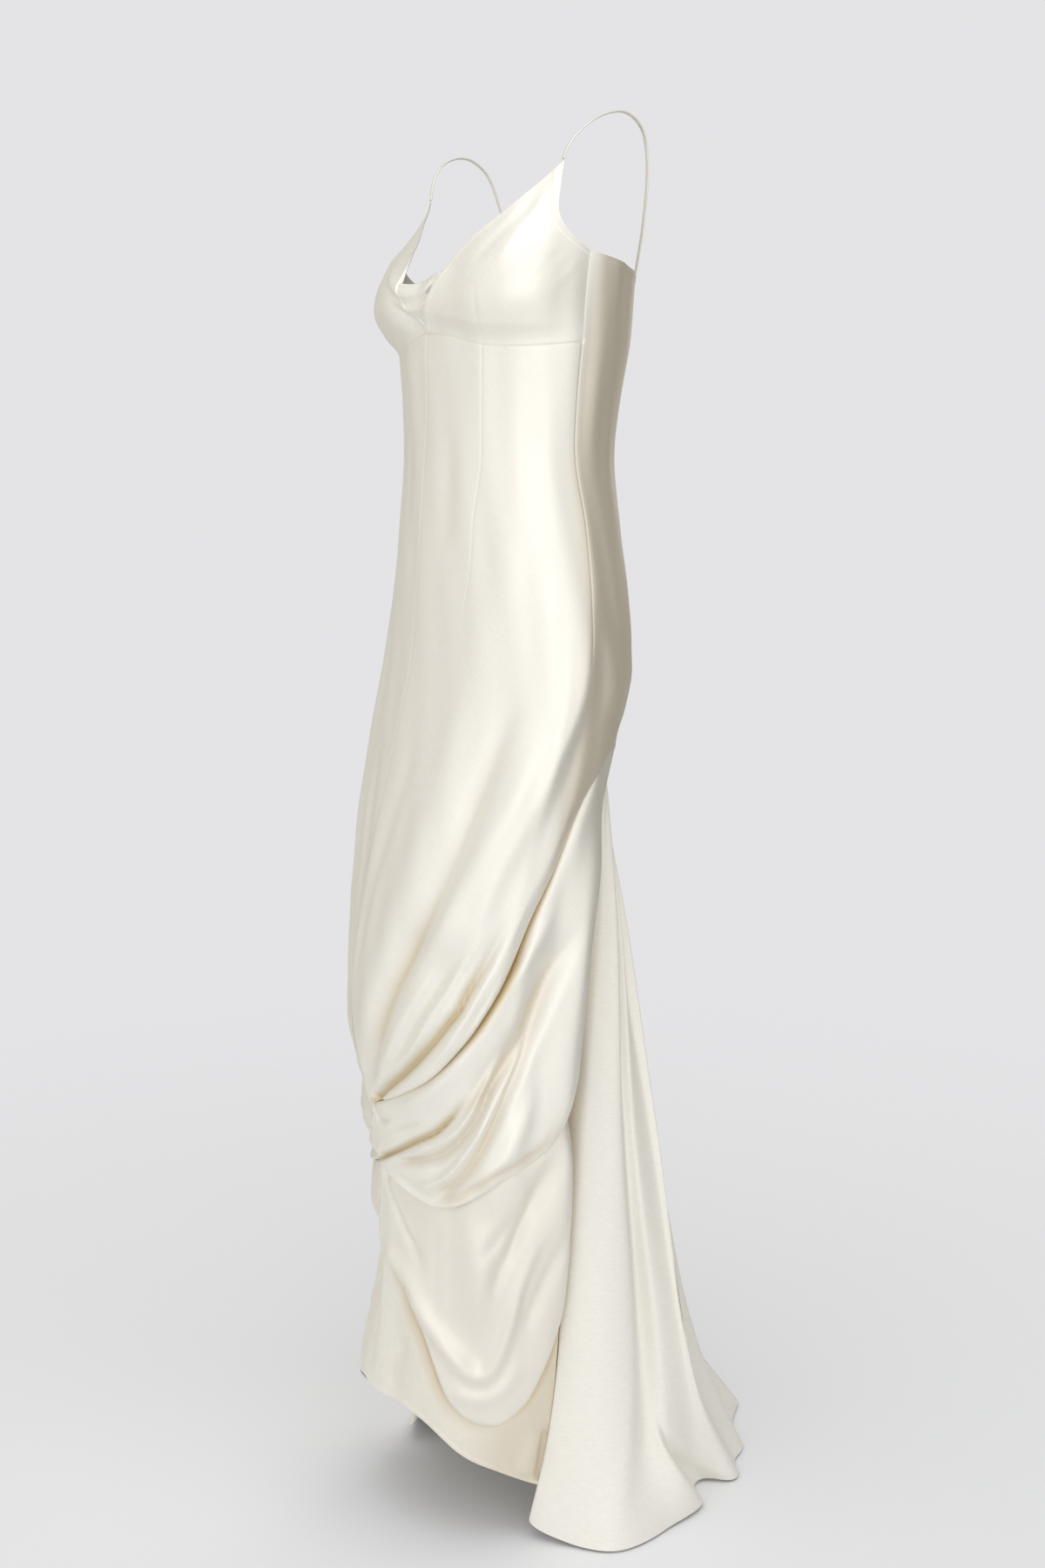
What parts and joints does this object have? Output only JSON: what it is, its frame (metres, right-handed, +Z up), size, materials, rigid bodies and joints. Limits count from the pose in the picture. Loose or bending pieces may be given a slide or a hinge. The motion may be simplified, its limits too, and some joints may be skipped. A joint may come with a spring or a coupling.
{
  "type": "slip dress",
  "caption": "Long sleeveless gown of bias-cut satin: thin straps, bust cups, small cowl neck, skirt folds caught up at the front of the knee, raised front hem and a flared back train",
  "frame": {"origin": "midway between the tops of the two straps, where the dress hangs from the shoulders", "axes": "+Z up; the wearer faces -Y; the wearer's left is +X"},
  "size_m": [0.4268, 0.5186, 1.5166],
  "materials": {
    "strap_left": "satin face out, soft sheen",
    "strap_right": "satin face out, soft sheen",
    "cup_left": "satin face out, soft sheen",
    "cup_right": "satin face out, soft sheen",
    "cowl": "satin face out, soft sheen",
    "front_left": "satin face out, soft sheen",
    "front_right": "satin face out, soft sheen",
    "back_left": "satin face out, soft sheen",
    "back_right": "satin face out, soft sheen",
    "swag_left": "satin face out, soft sheen",
    "swag_right": "satin face out, soft sheen",
    "lower_left": "crepe side out, matte with a fine crosswise grain",
    "lower_right": "crepe side out, matte with a fine crosswise grain",
    "train_left": "crepe side out, matte with a fine crosswise grain",
    "train_right": "crepe side out, matte with a fine crosswise grain"
  },
  "bodies": {
    "root": {"strap_left": "strap_left", "strap_right": "strap_right", "cup_left": "cup_left", "cup_right": "cup_right", "cowl": "cowl", "front_left": "front_left", "front_right": "front_right", "back_left": "back_left", "back_right": "back_right", "swag_left": "swag_left", "swag_right": "swag_right", "lower_left": "lower_left", "lower_right": "lower_right", "train_left": "train_left", "train_right": "train_right"}
  },
  "joints": []
}
